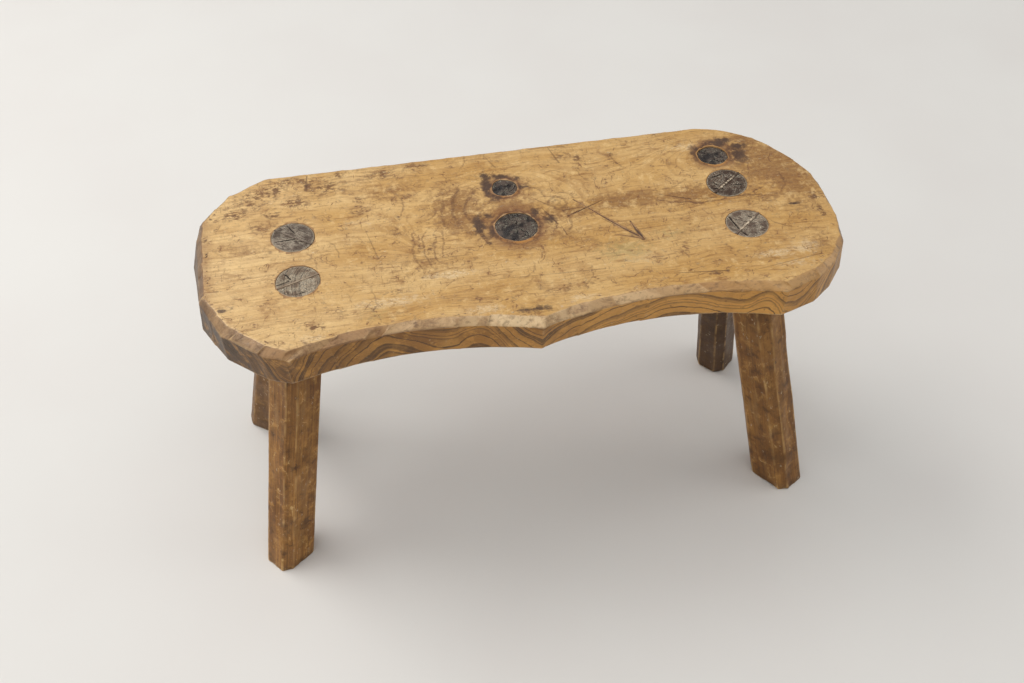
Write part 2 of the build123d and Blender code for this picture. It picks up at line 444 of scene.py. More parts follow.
def even_bearings(outline, count):
    """Bearings whose points on the outline are evenly spaced along it, and the outline's length."""
    points, _ = outline
    lengths = [(points[(k + 1) % len(points)] - p).length for k, p in enumerate(points)]
    total = sum(lengths)
    bearings = []
    k, done = 0, 0.0
    for i in range(count):
        target = total * i / count
        while k < len(points) - 1 and done + lengths[k] < target:
            done += lengths[k]
            k += 1
        p = points[k].lerp(points[(k + 1) % len(points)], (target - done) / lengths[k])
        bearings.append(math.atan2(p.y, p.x))
    return bearings, total


COLUMNS_ROUND_BOARD = 900
TOP_EDGE, BEVEL_EDGE, LOW_EDGE = (seat_outline(z) for z in (SITTING_FACE, BEVEL_LINE, UNDERSIDE))
BEARINGS, ROUND_BOARD = even_bearings(TOP_EDGE, COLUMNS_ROUND_BOARD)


def knife_cuts(seed, shortest, longest):
    """For each column round the board: the number of the cut it is in and how far along that cut it is."""
    chance = random.Random(seed)
    step = ROUND_BOARD / COLUMNS_ROUND_BOARD / MM
    cuts, number = [], 0
    while len(cuts) < COLUMNS_ROUND_BOARD:
        length = max(2, round(chance.uniform(shortest, longest) / step))
        cuts += [(number, i / length) for i in range(length)]
        number += 1
    return cuts[:COLUMNS_ROUND_BOARD]


BEVEL_CUTS = knife_cuts(5, 13.0, 36.0)
SIDE_CUTS = knife_cuts(8, 18.0, 52.0)
_chance = random.Random(21)
# For each cut: how far it leans in at its start and end and how far it drops, in millimetres, and its tone.
BEVEL_SET = [(*(_chance.uniform(-1.3, 1.5) for _ in range(3)), _chance.random()) for _ in range(400)]
SIDE_SET = [(_chance.uniform(-0.45, 0.3), _chance.uniform(-0.45, 0.3)) for _ in range(400)]
SIDE_STEPS, BEVEL_STEPS = 15, 4


def board_corners(i):
    """One column's five corners, from the underside out and up to the sitting face, and which way is out."""
    top, bevel, low = (on_outline(edge, BEARINGS[i]) for edge in (TOP_EDGE, BEVEL_EDGE, LOW_EDGE))
    following = on_outline(TOP_EDGE, BEARINGS[(i + 1) % COLUMNS_ROUND_BOARD])
    tangent = following - on_outline(TOP_EDGE, BEARINGS[i - 1])
    outward = Vector((tangent.y, -tangent.x, 0.0)).normalized()
    number, along = BEVEL_CUTS[i]
    calm = 1.0 - 0.75 * ease(top.y, 100 * MM, 118 * MM)
    inset_a, inset_b, drop = (value * calm for value in BEVEL_SET[number][:3])
    worn = 0.6 * rough(top, 0.009, 1.0) + 0.5 * math.sin(math.pi * along)
    top_corner = top - outward * (inset_a + (inset_b - inset_a) * along + worn + 0.3) * 0.8 * MM
    bevel_corner = bevel + Vector((0, 0, -(drop + 0.6 * rough(bevel, 0.012, 4.0)) * 0.9 * MM))
    number, along = SIDE_CUTS[i]
    side_a, side_b = SIDE_SET[number]
    lean = (side_a + (side_b - side_a) * along - 0.25 * math.sin(math.pi * along)) * MM
    low_corner = low + outward * (lean * 1.3 + 0.5 * MM * rough(low, 0.03, 9.0))
    bevel_corner = bevel_corner + outward * lean
    under, inner = low_corner - outward * 4 * MM, top_corner - outward * 3 * MM
    return [under, low_corner, bevel_corner, top_corner, inner], outward


def board_rib(i):
    """The points of one column, from the underside out round the edge and onto the sitting face."""
    corners, outward = board_corners(i)
    rib = [corners[0]]
    for k, steps in ((1, SIDE_STEPS), (2, BEVEL_STEPS), (3, 0)):
        before = (corners[k - 1] - corners[k]).normalized()
        after = (corners[k + 1] - corners[k]).normalized()
        soft = EDGE_SOFTNESS * (1.5 if k == 1 else 0.8)
        start = corners[k] + after * soft
        rib += [corners[k] + before * soft, corners[k] + (before + after) * soft * 0.33, start]
        rib += [start.lerp(corners[k + 1], step / steps) for step in range(1, steps)]
    rib.append(corners[4])
    for k in range(4, 4 + SIDE_STEPS):
        ripple = 0.16 * rough(rib[k], 0.008, 2.0) + 0.22 * rough(rib[k], 0.02, 6.0)
        rib[k] = rib[k] + outward * ripple * MM
    return rib


def cut_into_squares(bm, cap):
    """Cuts a flat cap along X and Y, finely on the sitting face, so that it can be hollowed."""
    grid = 3.2 * MM if cap.normal.z > 0 else 9.0 * MM
    geometry = [cap] + list(cap.edges) + list(cap.verts)
    for axis in (0, 1):
        normal = Vector((1 - axis, axis, 0))
        place = SLAB_LOW[axis] + grid
        while place < SLAB_HIGH[axis]:
            line = dict(plane_co=normal * (place + 0.37 * MM), plane_no=normal)
            geometry = bmesh.ops.bisect_plane(bm, geom=geometry, dist=1e-6, **line)["geom"]
            place += grid


def hole_cutters():
    """Four tapered mortises and three knot holes, run past both faces of the slab."""
    cutters = bmesh.new()
    over = 12 * MM
    slope = (MORTISE_WIDE - MORTISE_NARROW) / (SITTING_FACE - UNDERSIDE)
    for name in TENON_CRACKS:
        _, _, foot_middle, top_middle = leg_lines(name)
        axis = (top_middle - foot_middle).normalized()
        length = (SITTING_FACE - UNDERSIDE) / axis.z + 2 * over
        middle = top_middle - axis * (length / 2 - over)
        matrix = Matrix.Translation(middle) @ axis.to_track_quat("Z", "Y").to_matrix().to_4x4()
        bmesh.ops.create_cone(
            cutters, cap_ends=True, segments=96, depth=length, matrix=matrix,
            radius1=MORTISE_NARROW - slope * over, radius2=MORTISE_WIDE + slope * over,
        )
    for name in KNOT_SHAPE:
        hole = knot_tube(name, JOINT_GAP, 5 * MM)
        mesh = bpy.data.meshes.new("hole")
        hole.to_mesh(mesh)
        hole.free()
        cutters.from_mesh(mesh)
        bpy.data.meshes.remove(mesh)
    return cutters


def build_seat(materials):
    ribs = [board_rib(i) for i in range(COLUMNS_ROUND_BOARD)]
    bm = tube(COLUMNS_ROUND_BOARD, len(ribs[0]) - 1, lambda column, row: ribs[column][row])
    for cap in close_ends(bm):
        cut_into_squares(bm, cap)
    bmesh.ops.recalc_face_normals(bm, faces=bm.faces)
    board = new_piece(bm, "seat_board", materials)
    carve(board, new_piece(hole_cutters(), "hole_cutters"))
    # The worn sitting face: every point near the top goes down a little.
    for vert in board.data.vertices:
        share = ease(vert.co.z, BEVEL_LINE - 2 * MM, SITTING_FACE - 0.5 * MM)
        if share:
            vert.co.z -= share * hollow_in_seat(vert.co.x, vert.co.y)
    for stroke in ARROW:
        carve(board, new_piece(arrow_stroke(*stroke), "arrow_cutter"))
    smooth_between_ridges(board, 24)
    holes = [box_middle(level_points(name, SITTING_FACE)) for name in (*TENON_CRACKS, *KNOT_SHAPE)]
    mark_ridges(board, [(hole.x, hole.y, 27 * MM) for hole in holes])
    mark_seat(board)
    ride_as(board, "seat_slab")


ARROW = [  # x0, y0, x1, y1, width, depth of each knife stroke: millimetres
    (54.0, 33.0, 104.5, -32.0, 2.6, 1.5),
    (79.0, 27.5, 44.0, 12.0, 1.5, 0.8),
    (99.5, -7.0, 105.5, -33.0, 3.4, 1.7),
    (78.0, -20.5, 106.0, -32.5, 1.5, 0.6),
]


def arrow_stroke(x0, y0, x1, y1, width, depth):
    """A long thin diamond, half sunk in the sitting face, that leaves a V-shaped groove."""
    start, end = Vector((x0, y0, 0)) * MM, Vector((x1, y1, 0)) * MM
    across = Vector((-(end - start).y, (end - start).x, 0)).normalized()
    section = ((-0.72, 0.45), (0.0, -1.0), (0.72, 0.45), (-0.72, 0.45))

    def place(column, row):
        sideways, height = section[column % 3]
        t = 2.0 * row / 24 - 1.0
        swell = math.sqrt(max(0.0, 1.0 - abs(t) ** 2.5)) * (0.62 + 0.38 * t)
        point = start.lerp(end, row / 24)
        point = point + across * (sideways * width * swell + 0.25 * math.sin(3.1 * t + x0)) * MM
        point.z = SITTING_FACE - hollow_in_seat(point.x, point.y) + (0.05 + height * depth * swell) * MM
        return point

    bm = tube(3, 24, place)
    close_ends(bm)
    return bm


def stain_level(stains, point):
    """How deep inside the nearest stain a point of the sitting face is: 1 in its middle, 0 outside."""
    level = 0.0
    if point.z > BEVEL_LINE:
        for middle_x, middle_y, reach_x, reach_y, strength in stains:
            across = (point.x / MM - middle_x) / reach_x
            if abs(across) < 1.35:
                away = math.hypot(across, (point.y / MM - middle_y) / reach_y)
                level = max(level, strength * (1.0 - away / 1.35))
    return level


def mark_seat(board):
    """Stores "side", "end" and "cut": how far each point faces sideways, faces along the grain, and the
    tone of the knife cut that it is in. Each kind of stain is stored under its own name."""
    board.data.update()
    sides, ends, cuts = [], [], []
    order = sorted(range(COLUMNS_ROUND_BOARD), key=lambda i: BEARINGS[i])
    ordered = [BEARINGS[i] for i in order]
    for vert in board.data.vertices:
        sides.append(1.0 - ease(vert.normal.z, 0.35, 0.62))
        ends.append(ease(abs(vert.normal.x), 0.55, 0.95))
        k = order[bisect.bisect(ordered, math.atan2(vert.co.y, vert.co.x)) % COLUMNS_ROUND_BOARD]
        on_bevel = ease(vert.co.z, BEVEL_LINE - 1.5 * MM, BEVEL_LINE)
        on_bevel *= 1.0 - ease(vert.normal.z, 0.85, 0.97)
        cuts.append(on_bevel * (0.15 + 0.85 * BEVEL_SET[BEVEL_CUTS[k][0]][3]))
    for name, stains in STAINS.items():
        store(board, name, [stain_level(stains, vert.co) for vert in board.data.vertices])
    store(board, "side", sides)
    store(board, "end", ends)
    store(board, "cut", cuts)


# ---------------------------------------------------------------------------------------------------------
# Node trees, written as sums
# ---------------------------------------------------------------------------------------------------------
def tone(red, green, blue):
    """A colour as the eye sees it, 0 to 255, as the linear values that a shader takes."""
    channels = [c / 255.0 for c in (red, green, blue)]
    return tuple(c / 12.92 if c <= 0.04045 else ((c + 0.055) / 1.055) ** 2.4 for c in channels) + (1.0,)


class Value:
    """An output in a node tree. Each sum on it adds a Math node, or a Vector Math node if it is a vector."""

    def __init__(self, graph, socket):
        self.graph = graph
        self.socket = socket

    def combine(self, operation, other):
        write = self.graph.math if self.socket.type == "VALUE" else self.graph.vector
        return write(operation, self, other)

    def __add__(self, other):
        return self.combine("ADD", other)

    def __sub__(self, other):
        return self.combine("SUBTRACT", other)

    def __mul__(self, other):
        return self.combine("MULTIPLY", other)

    def __truediv__(self, other):
        return self.combine("DIVIDE", other)

    def scaled(self, factor):
        return self.graph.add("ShaderNodeVectorMath", {0: self, "Scale": factor}, operation="SCALE")


class Graph:
    """Writes a node tree: each call adds a node and gives back its output as a Value."""

    def __init__(self, tree):
        self.tree = tree

    def feed(self, socket, value):
        if isinstance(value, Value):
            self.tree.links.new(value.socket, socket)
        else:
            socket.default_value = value

    def node(self, kind, inputs, **settings):
        node = self.tree.nodes.new(kind)
        for key, value in settings.items():
            setattr(node, key, value)
        for key, value in inputs.items():
            self.feed(node.inputs[key], value)
        return node

    def outputs(self, node):
        return {socket.name: Value(self, socket) for socket in node.outputs}

    def add(self, kind, inputs, output=0, **settings):
        return Value(self, self.node(kind, inputs, **settings).outputs[output])

    def math(self, operation, *values, clamp=False):
        return self.add("ShaderNodeMath", dict(enumerate(values)), operation=operation, use_clamp=clamp)

    def larger(self, a, b):
        return self.math("MAXIMUM", a, b)

    def vector(self, operation, *values):
        output = "Value" if operation in ("LENGTH", "DISTANCE", "DOT_PRODUCT") else "Vector"
        return self.add("ShaderNodeVectorMath", dict(enumerate(values)), output, operation=operation)

    def split(self, place):
        return self.outputs(self.node("ShaderNodeSeparateXYZ", {0: place})).values()

    def noise(self, place, scale=1.0, detail=2.0, roughness=0.5, distortion=0.0, stretch=None, output=0):
        inputs = {"Vector": place * stretch if stretch else place, "Scale": scale}
        inputs.update(Detail=detail, Roughness=roughness, Distortion=distortion)
        return self.add("ShaderNodeTexNoise", inputs, output)

    def cells(self, place, scale, stretch):
        return self.add("ShaderNodeTexVoronoi", {"Vector": place * stretch, "Scale": scale})

    def span(self, value, low, high, to_low=0.0, to_high=1.0):
        """Maps low..high to to_low..to_high with a soft start and end."""
        numbers = dict(enumerate((value, low, high, to_low, to_high)))
        return self.add("ShaderNodeMapRange", numbers, interpolation_type="SMOOTHSTEP")

    def mix(self, share, under, over, blend="MIX"):
        """Lays one colour over another. A colour of three numbers is a tone."""
        under, over = (tone(*c) if isinstance(c, tuple) and len(c) == 3 else c for c in (under, over))
        colours = {0: share, 6: under, 7: over}
        return self.add("ShaderNodeMix", colours, 2, data_type="RGBA", blend_type=blend)

    def group(self, tree, **inputs):
        node = self.tree.nodes.new("ShaderNodeGroup")
        node.node_tree = tree
        for key, value in inputs.items():
            self.feed(node.inputs[key], value)
        return self.outputs(node)

    def attribute(self, name):
        return self.add("ShaderNodeAttribute", {}, "Fac", attribute_name=name)


# ---------------------------------------------------------------------------------------------------------
# Effects that materials share. Places, reaches and widths are in millimetres
# ---------------------------------------------------------------------------------------------------------
def effect(name, write, inputs, outputs):
    """A shader node group that write(graph, *inputs) fills. An input of None is a vector."""
    tree = bpy.data.node_groups.new(name, "ShaderNodeTree")
    for label, value in inputs.items():
        kind = "NodeSocketVector" if value is None else "NodeSocketFloat"
        socket = tree.interface.new_socket(label, in_out="INPUT", socket_type=kind)
        if value is not None:
            socket.default_value = value
    for label in outputs:
        tree.interface.new_socket(label, in_out="OUTPUT", socket_type="NodeSocketFloat")
    graph = Graph(tree)
    given = graph.outputs(graph.node("NodeGroupInput", {}))
    results = write(graph, *(given[label] for label in inputs))
    graph.node("NodeGroupOutput", dict(zip(outputs, results)))
    return tree


def growth_rings(g, place, spacing, waver, swell):
    """Annual rings round a pith that runs along X through Place's zero."""
    _, y, z = g.split(place)
    wander = g.noise(place, stretch=(0.008, 0.022, 0.022)) - 0.5
    radius = g.math("SQRT", y * y + z * z) + wander * (waver * 2.0) - swell
    fine = g.noise(place, detail=3.0, stretch=(0.03, 0.3, 0.3)) - 0.5
    turns = radius / spacing + fine * 0.22
    # Ring widths vary: a slow noise on the count squeezes some and widens others.
    pace = g.add("ShaderNodeTexNoise", {"W": turns * 0.35, "Detail": 1.0}, noise_dimensions="1D")
    turns = turns + pace * 1.8
    part = g.math("FRACT", turns)
    late = g.span(part, 0.35, 0.85) * g.span(part, 1.0, 0.94)
    chance = g.add("ShaderNodeTexWhiteNoise", {"W": g.math("FLOOR", turns)}, noise_dimensions="1D")
    return late * g.span(chance, 0.0, 1.0, 0.5, 1.0), chance


def wood_fibres(g, place):
    """Fine streaks and short dark pores along X."""
    streak = g.noise(place, detail=4.0, roughness=0.6, stretch=(0.018, 0.8, 0.8))
    pore = g.noise(place, detail=3.0, roughness=0.65, stretch=(0.13, 0.95, 0.95))
    return g.span(streak, 0.3, 0.72), g.span(pore, 0.63, 0.74), streak * 0.6 - g.span(pore, 0.62, 0.75)


def wear_and_edge_light(g, place, ridge):
    """Pale ridges, worn and with a painted highlight; darker hollows; small knocks, smears and mottled
    polish.
    """
    patch = g.noise(place, scale=0.05, detail=3.0)
    # pale ridges: wear together with a painted highlight
    rubbed_and_highlit = g.span(ridge, 0.56, 0.86) * g.span(patch, 0.36, 0.62)
    knock = g.cells(place, 0.085, (1.0, 1.9, 1.0))
    fleck = g.noise(place, scale=0.4, distortion=1.5)
    nick = g.span(knock, 0.2, 0.06) * g.span(fleck, 0.48, 0.62)
    smear = g.noise(place, scale=0.03, detail=4.0, roughness=0.6)
    mottle = g.noise(place, scale=0.075, detail=5.0, roughness=0.72)
    return rubbed_and_highlit, g.span(ridge, 0.44, 0.20), nick, smear, mottle


def stain_spot(g, place, middle, reach, rag, ragged):
    """One spot with a ragged edge."""
    away = g.vector("LENGTH", (place - middle) / reach)
    return [g.span(g.math("MULTIPLY_ADD", rag, ragged, away), 1.2, 0.6)]


def soft_swell(g, place, middle, reach, height):
    """A smooth bump, Height at Middle and fading over Reach."""
    away = (place - middle) / reach
    return [g.math("EXPONENT", g.vector("DOT_PRODUCT", away, away) * -1.0) * height]


def curved_line(g, place, middle, radius, width):
    """A thin arc of Radius round Middle."""
    away = g.math("ABSOLUTE", g.vector("DISTANCE", place, middle) - radius)
    return [g.span(away / width, 1.0, 0.25)]


def straight_cut(g, place, start, end, width):
    """A straight cut from Start to End that widens to Width."""
    whole, part = end - start, place - start
    dots = [g.vector("DOT_PRODUCT", v, whole) for v in (part, whole)]
    share = g.math("DIVIDE", *dots, clamp=True)
    away = g.vector("LENGTH", part - whole.scaled(share))
    return [g.span(away / (width * g.span(share, 0.0, 0.8, 0.35, 1.0)), 1.1, 0.35)]


def thin_lines(g, pattern, width):
    """Crooked hairlines where a noise passes its middle value."""
    return [g.span(g.math("ABSOLUTE", pattern - 0.5), width, width * 0.2)]


SPOT_PLACE = {"Place": None, "Middle": None, "Reach": None}
RING_INPUTS = dict(Place=None, Spacing=5.0, Waver=3.0, Swell=0.0)
RINGS = effect("growth rings", growth_rings, RING_INPUTS, ["Line", "Tint"])
FIBRES = effect("wood fibres", wood_fibres, dict(Place=None), ["Streak", "Pore", "Height"])
WEAR_MASKS = ["Rubbed", "Dirt", "Nick", "Smear", "Mottle"]
WEAR_AND_EDGE_LIGHT = effect("handling wear", wear_and_edge_light, dict(Place=None, Ridge=0.5), WEAR_MASKS)
SPOT = effect("stain spot", stain_spot, dict(SPOT_PLACE, Rag=0.0, Ragged=1.0), ["Mask"])
SWELL = effect("soft swell", soft_swell, dict(SPOT_PLACE, Height=1.0), ["Swell"])
ARC = effect("curved line", curved_line, dict(Place=None, Middle=None, Radius=30.0, Width=2.0), ["Mask"])
CUT = effect("straight cut", straight_cut, dict(Place=None, Start=None, End=None, Width=1.5), ["Mask"])
LINES = effect("thin lines", thin_lines, dict(Noise=0.5, Width=0.01), ["Mask"])
DEEP = 1000.0  # reach in Z of a mark that goes right through


# ---------------------------------------------------------------------------------------------------------
# Marks on the seat, in millimetres
# ---------------------------------------------------------------------------------------------------------
STAINS = {  # spots on the sitting face, each with its middle x, y, its reach in X and Y, and its strength
    "scuff": [  # dark brown, broken up into specks
        (-258, 84, 34, 16, 0.55), (-180, 96, 34, 18, 0.6), (-215, 112, 34, 7, 0.7),
        (-150, 55, 24, 10, 0.5), (-246, 50, 16, 8, 0.6), (-90, 112, 26, 6, 0.6), (-130, -60, 20, 8, 0.45),
        (20, -84, 30, 7, 0.5), (-231, 101, 17, 11, 0.95), (-197, 104, 8, 15, 0.8),
        (-212, 80, 15, 10, 0.95), (-234, 66, 11, 6, 0.8), (-270, 71, 13, 9, 0.95), (-288, 67, 7, 4, 0.7),
        (-151, 72, 8, 6, 0.7), (-126, 107, 20, 10, 0.7), (-165, 114, 12, 6, 0.7), (-250, 95, 30, 16, 0.6),
        (-206, -92, 9, 5, 0.9), (72, 95, 5, 9, 0.8), (105, 92, 7, 5, 0.6), (288, -5, 9, 8, 0.9),
        (284, -27, 4, 11, 0.8), (135, -83, 5, 2.5, 0.8), (112, -81, 5, 2.5, 0.7),
        (159, -92, 12, 2.5, 0.7), (-120, 20, 9, 12, 0.6), (-95, -8, 12, 10, 0.6), (60, 100, 20, 9, 0.5),
    ],
    "dark": [  # solid dark spots
        (-25, 70, 6, 14, 0.85), (-12, 81, 16, 4.5, 0.8), (6, 76, 6, 6, 0.6), (188, 78, 5, 12, 0.6),
        (-33, 4, 9, 18, 0.55), (232, 72, 12, 16, 0.75), (216, 92, 14, 7, 0.8), (-20, 52, 10, 7, 0.6),
        (-286, -56, 7, 3.2, 0.8), (262, -12, 7.5, 2.6, 0.95), (237, 84, 11, 8, 0.8),
        (224, 96, 10, 5, 0.85), (-16, -105, 27, 4, 0.65), (-43, 14, 7, 19, 0.85), (-33, 26, 9, 6, 0.6),
        (14, 22, 8, 9, 0.7), (25, 10, 9, 12, 0.6), (-37, -13, 4, 4, 0.6), (-26, 84, 9, 8, 0.75),
        (-27, 63, 7, 12, 0.7), (8, 62, 9, 5, 0.7), (193, 88, 10, 7, 0.6),
    ],
    "cloud": [  # soft brown areas
        (275, 30, 34, 60, 0.75), (210, 20, 50, 22, 0.5), (248, 92, 30, 16, 0.8), (30, -12, 30, 14, 0.5),
        (46, 18, 46, 13, 0.75), (105, 25, 55, 15, 0.85), (170, 20, 55, 16, 0.75), (-58, 40, 34, 48, 0.8),
        (-115, 78, 48, 24, 0.5), (262, 52, 50, 42, 0.9), (243, 70, 24, 26, 0.9), (-260, 18, 42, 10, 0.45),
        (245, 5, 60, 12, 0.55), (-8, 32, 44, 58, 0.6), (268, -70, 20, 24, 0.5), (60, -30, 34, 24, 0.35),
        (-100, -28, 46, 22, 0.4),
    ],
    "rub": [  # scratched through the polish
        (-80, -47, 32, 6, 0.8), (-57, -97, 22, 6, 0.8), (32, -99, 22, 5, 0.7), (222, -76, 24, 7, 0.85),
        (250, -72, 18, 11, 0.8), (-135, -72, 44, 9, 0.7), (185, 92, 22, 9, 0.7), (-212, -104, 20, 6, 0.6),
        (100, -60, 26, 12, 0.4), (235, -92, 30, 8, 0.5), (-150, 40, 34, 8, 0.45),
    ],
    "green": [  # greenish polish
        (85, -45, 34, 20, 0.6), (130, -30, 26, 14, 0.4), (-150, -84, 20, 12, 0.4),
    ],
}
ARCS = [  # arcs: centre x, y, radius, width; then the spot they show in: x, y, reach X, reach Y; strength
    (-8.5, 5, 35.5, 3.6, -44, 8, 15, 34, 0.95), (-9, 64, 20, 4.0, -26, 72, 16, 24, 0.9),
    (207, 74.5, 23, 5, 222, 90, 26, 22, 0.85), (-8, 36, 44, 2.6, -50, 45, 16, 34, 0.7),
    (-8.5, 36, 56, 3.0, -62, 42, 14, 36, 0.65), (-9, 36, 66, 2.0, -74, 40, 12, 24, 0.5),
    (-52, -10, 31, 1.6, -83, -6, 14, 26, 0.6), (-52.5, -10, 38, 1.4, -90, -6, 14, 30, 0.6),
    (-53, -10, 46, 1.6, -98, -8, 14, 34, 0.6), (-53.5, -10, 55, 1.4, -106, -8, 14, 30, 0.5),
    (190, 130, 122, 1.8, 185, 14, 58, 14, 0.8), (37.8, 32.4, 9.5, 2.6, 38, 32, 15, 15, 0.6),
    (36, 32.4, 4.0, 3.0, 38, 32, 10, 10, 0.5), (38.5, 33, 16, 2.0, 44, 40, 14, 12, 0.4),
    (-8, 5, 27, 2.2, 10, -16, 22, 14, 0.5), (10, 4, 20, 1.6, 29, 6, 7, 20, 0.7),
    (16, 2, 28, 1.6, 43, 10, 8, 22, 0.6), (0, 40, 26, 1.6, 20, 52, 14, 20, 0.6),
    (235, 30, 30, 1.5, 262, 20, 9, 22, 0.6), (-260, -20, 60, 1.6, -200, -12, 12, 26, 0.4),
    (-140, 60, 30, 1.4, -112, 56, 10, 22, 0.45), (-60, 118, 22, 1.5, -40, 108, 9, 12, 0.5),
    (86, 76, 20, 1.4, 68, 66, 9, 14, 0.5), (250, -20, 22, 1.4, 236, -38, 10, 14, 0.5),
    (-96, 44, 16, 1.4, -82, 34, 8, 14, 0.55), (150, 60, 26, 1.5, 160, 36, 16, 8, 0.5),
    (-200, -4, 24, 1.3, -180, 8, 8, 16, 0.45), (20, -60, 30, 1.4, 46, -74, 10, 16, 0.45),
    (-30, -40, 28, 1.4, -8, -56, 12, 12, 0.45), (120, -70, 20, 1.3, 136, -58, 8, 10, 0.45),
    (180, -40, 34, 1.4, 214, -60, 10, 18, 0.4), (130, 90, 24, 1.4, 108, 82, 9, 16, 0.5),
    (-180, -60, 30, 1.3, -152, -66, 10, 18, 0.4),
]
STROKES = [  # dark straight cuts: x0, y0 to x1, y1, half width at the far end, strength
    (53, 34, 104, -31, 2.0, 0.95), (80, 28, 43, 11.5, 1.4, 0.75), (99.5, -6, 105, -33, 3.0, 0.95),
    (80, -22, 106, -33, 1.4, 0.6), (74, 2, 104, -31, 1.3, 0.6), (60, 22, 40, 20, 1.1, 0.6),
    (21, 26, 31, 2, 1.0, 0.7), (33, 0, 36, -14, 0.9, 0.6), (14, 44, 28, 30, 1.0, 0.5),
    (138, 27, 166, 15, 1.1, 0.6), (166, 15, 236, 8, 1.1, 0.5), (46, 118, 52, 92, 1.4, 0.5),
    (-20, 116, -12, 96, 1.2, 0.4), (-150, 30, -142, -14, 1.0, 0.35), (180, -96, 262, -84, 1.0, 0.4),
    (120, -84, 170, -90, 1.2, 0.6), (-197, 117, -200, 96, 2.2, 0.6), (-30, -104, 0, -107, 2.0, 0.6),
    (-180, -20, -60, -24, 0.8, 0.3), (-60, -60, 60, -66, 0.9, 0.35),
]
SWELLS = [  # where the rings bend round a knot: x, y, reach X, reach Y, height
    (-8.5, 5.0, 52, 34, 30), (-9, 64, 40, 26, 22), (207, 74, 46, 28, 26), (-72, 0, 44, 30, 20),
    (40, 32, 22, 14, 11), (262, -12, 16, 10, 6), (-150, -114, 34, 26, 17), (-238, -112, 20, 24, -14),
    (-62, -112, 24, 22, 11), (205, -116, 20, 22, 15),
]


# ---------------------------------------------------------------------------------------------------------
# Materials
# ---------------------------------------------------------------------------------------------------------
def new_material(name):
    """An empty material: its Graph, its shader's inputs and the place on the surface in millimetres."""
    material = bpy.data.materials.new(name)
    material.use_nodes = True
    material.node_tree.nodes.clear()
    g = Graph(material.node_tree)
    shader = g.node("ShaderNodeBsdfPrincipled", {})
    g.node("ShaderNodeOutputMaterial", {"Surface": Value(g, shader.outputs[0])})
    place = g.add("ShaderNodeTexCoord", {}, "Object").scaled(1.0 / MM)
    return material, g, shader.inputs, place


def finish(g, shader, colour, roughness, height, depth, strength, **plain):
    """Feeds the shader. A height of 1 stands for depth millimetres; plain values are the same all over."""
    g.feed(shader["Base Color"], colour)
    g.feed(shader["Roughness"], roughness)
    relief = {"Height": height, "Strength": strength, "Distance": depth * MM}
    g.feed(shader["Normal"], g.add("ShaderNodeBump", relief))
    for key, value in plain.items():
        shader[key.replace("_", " ")].default_value = value


def lines_from(g, pattern, width):
    return g.group(LINES, Noise=pattern, Width=width)["Mask"]


# The tint of the old varnish on the seat's sides and on the legs: it takes away blue.
SEAT_VARNISH, LEG_VARNISH = (1.0, 0.95, 0.72, 1.0), (1.0, 0.96, 0.74, 1.0)


def seat_patterns(g, place):
    """What every part of the seat's material reads."""
    w = SimpleNamespace(place=place)
    w.ridge, w.side, w.end, w.cut = (g.attribute(name) for name in ("ridge", "side", "end", "cut"))
    w.x, w.y, w.z = g.split(place)
    w.flat = place * (1.0, 1.0, 0.0)
    w.drift = g.noise(place, scale=0.011, output="Color") - (0.5, 0.5, 0.5)
    w.bent = place + w.drift * (0.0, 22.0, 12.0)
    swells = [
        g.group(SWELL, Place=place, Middle=(x, y, 300), Reach=(rx, ry, 400), Height=height)["Swell"]
        for x, y, rx, ry, height in SWELLS
    ]
    swell = reduce(Value.__add__, swells)
    w.rings = g.group(RINGS, Place=w.bent - (0.0, 57.0, 250.0), Spacing=5.2, Waver=4.0, Swell=swell)
    w.fibres = g.group(FIBRES, Place=w.bent + g.add("ShaderNodeCombineXYZ", {1: swell}))
    w.wear = g.group(WEAR_AND_EDGE_LIGHT, Place=place, Ridge=w.ridge)
    w.mottle = w.wear["Mottle"]
    w.broad = g.noise(place, detail=3.0, stretch=(0.010, 0.030, 0.030))
    w.patch = g.noise(place, scale=0.022, detail=4.0, roughness=0.65)
    w.rag = (g.noise(place, scale=0.14, detail=4.0, roughness=0.7) - 0.5) * 3.2
    w.speck = g.noise(place, detail=4.0, roughness=0.7, stretch=(0.16, 0.26, 0.2))
    w.fine_speck = g.noise(place, detail=3.0, roughness=0.7, stretch=(0.30, 0.75, 0.7))
    return w


def sitting_face(g, w):
    """Bare worn wood with faint rings and streaks; paler at the left, which is a painted reflection of sheen.
    """
    top = g.mix(g.span(w.broad, 0.32, 0.68), (203, 158, 92), (226, 189, 130))
    top = g.mix(g.span(w.x, -260, 260, 0.0, 0.42), top, (196, 150, 82))
    # painted reflection: the sheen on the sitting face, painted as paler wood towards the left
    top = g.mix(g.span(w.x, -165, -285, 0.0, 0.5), top, (244, 210, 154))
    top = g.mix(g.span(w.x, -288, -303, 0.0, 0.6), top, (144, 108, 76))
    top = g.mix(g.span(w.patch, 0.52, 0.72, 0.0, 0.5), top, (178, 132, 76))
    top = g.mix(w.rings["Line"] * g.span(w.patch, 0.3, 0.7, 0.18, 0.5), top, (140, 94, 48))
    top = g.mix(w.rings["Tint"] * 0.16, top, (236, 196, 130))
    return g.mix(w.fibres["Streak"] * 0.20, top, (160, 114, 62))


def stain(g, w, name):
    """One kind of mark that mark_seat stored, with a ragged edge."""
    level = g.attribute(name)
    return g.span(level * 1.35 + w.rag * -0.8, 0.15, 0.75) * g.span(level, 0.0, 0.6, 0.3, 1.0)


